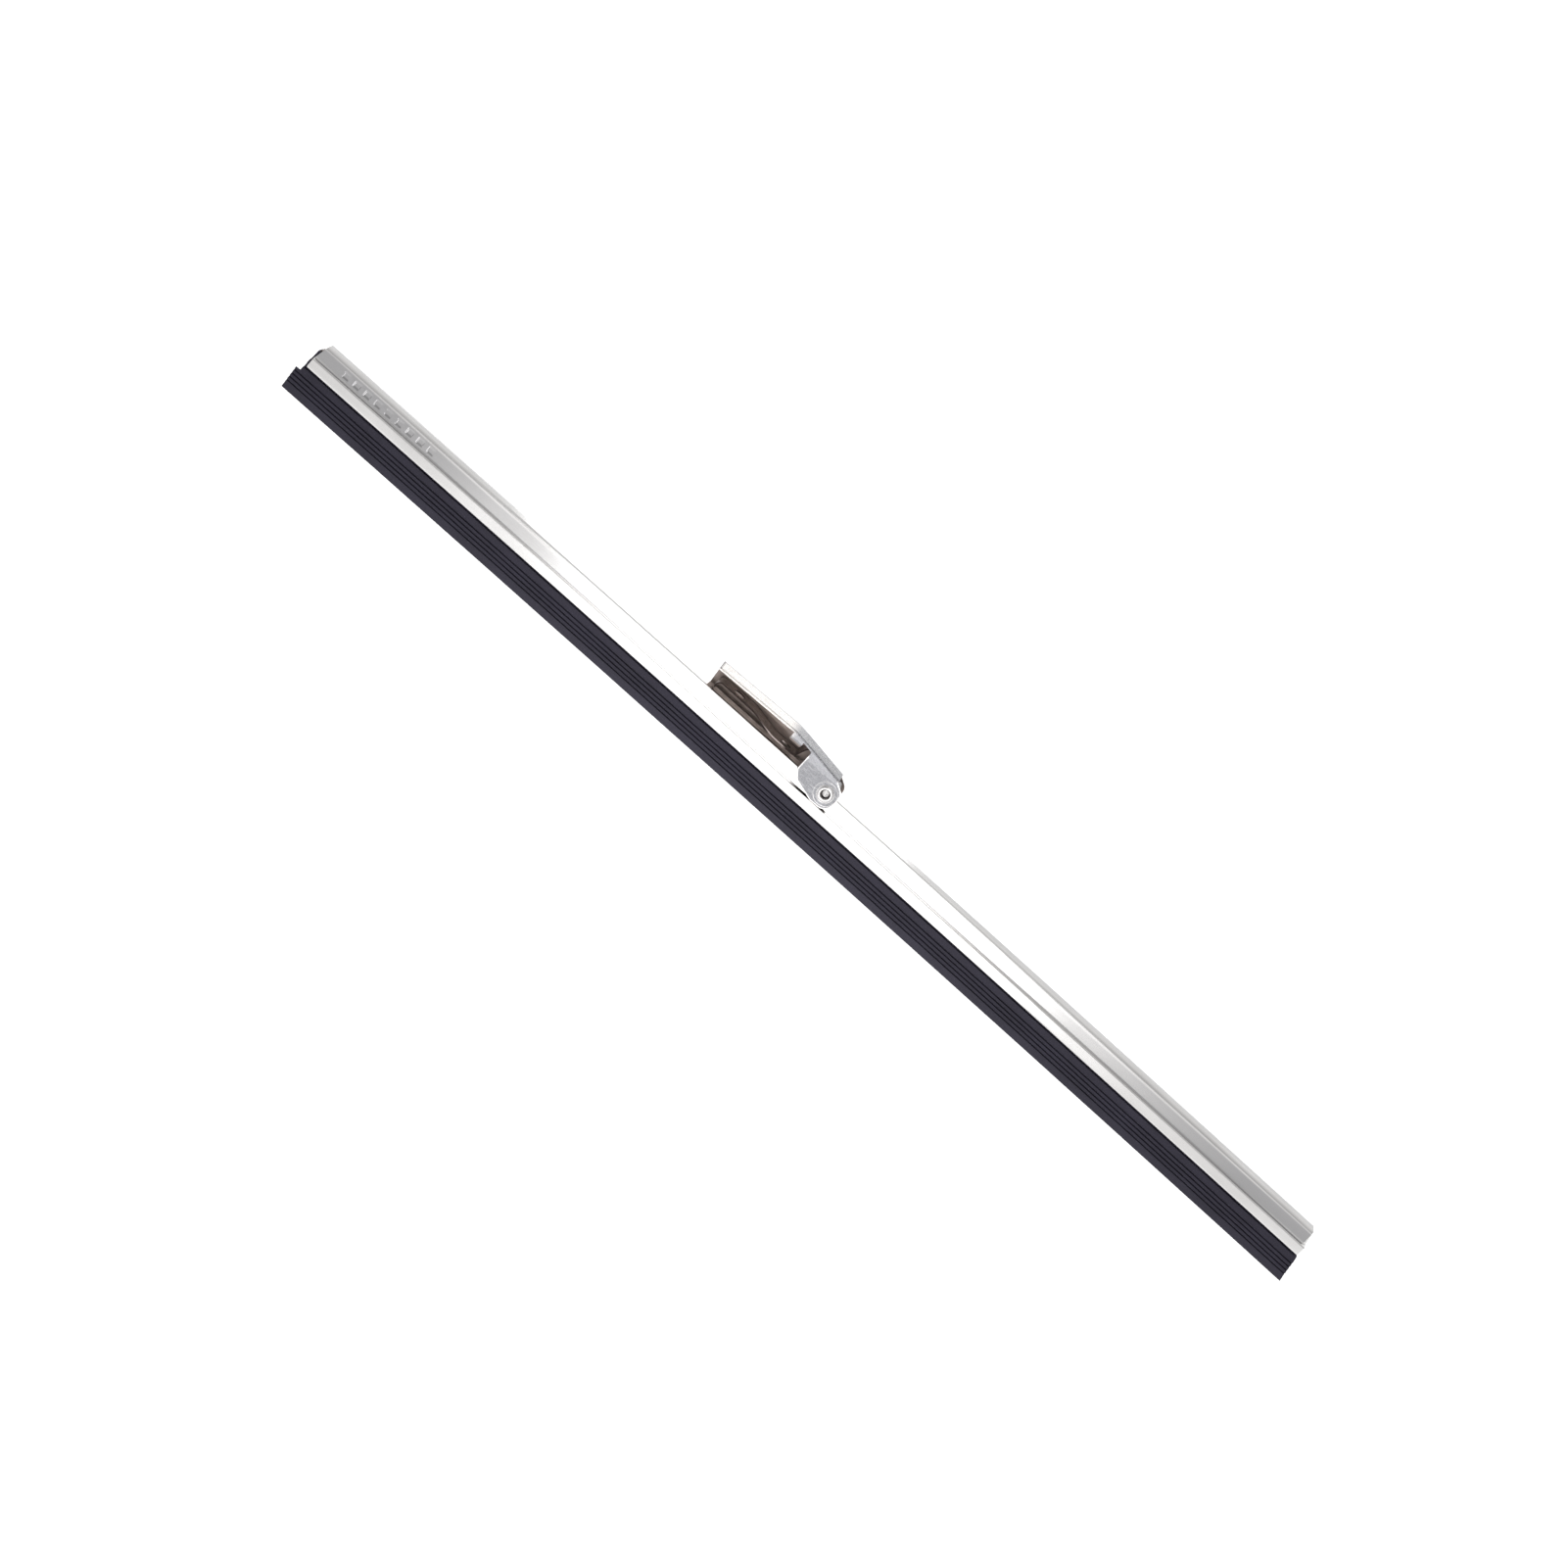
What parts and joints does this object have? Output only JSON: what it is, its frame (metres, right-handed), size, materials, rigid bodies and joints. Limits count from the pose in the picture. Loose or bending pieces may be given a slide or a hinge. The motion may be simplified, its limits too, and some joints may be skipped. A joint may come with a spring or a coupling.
{
  "type": "windscreen wiper blade",
  "caption": "Straight wiper blade: ribbed rubber squeegee in a folded stainless channel, on a pivoting spring clip that takes a bayonet wiper arm.",
  "frame": {"origin": "under the clip's pivot and the middle of the blade, level with the ends of the wiping lip", "axes": "+X along the blade, away from the clip's open mouth; +Y across the blade, towards the clip's full side wall; +Z from the wiping lip up to the clip"},
  "size_m": [0.2815, 0.0076, 0.0196],
  "materials": {
    "channel_steel": "polished stainless steel sheet, with fine drawing lines along its length",
    "clip_steel": "polished stainless steel sheet, tumbled, with fine random scratches",
    "spring_steel": "plain rolled spring steel, slightly darker",
    "rivet_steel": "rolled hollow rivet, satin",
    "rubber": "moulded black rubber, semi-matt, ribbed"
  },
  "bodies": {
    "clip": {"clip_body": "clip_steel", "pivot_rivet": "rivet_steel", "leaf_root": "spring_steel"},
    "leaf": {"leaf_spring": "spring_steel"},
    "blade": {"backing_channel": "channel_steel", "pivot_saddle": "clip_steel", "backing_strip": "spring_steel", "end_stop": "channel_steel", "squeegee_rubber": "rubber"}
  },
  "joints": [
    {"name": "blade_pivot", "type": "hinge", "parent": "clip", "child": "blade", "pos_m": [0, 0, 0.0136], "axis": [0, -1, 0], "range_deg": [0, 75]},
    {"name": "leaf_flex", "type": "hinge", "parent": "clip", "child": "leaf", "pos_m": [-0.0113, 0, 0.015], "axis": [0, 1, 0], "range_deg": [-1.5, 0], "stiffness_Nm_per_rad": 0.4}
  ]
}
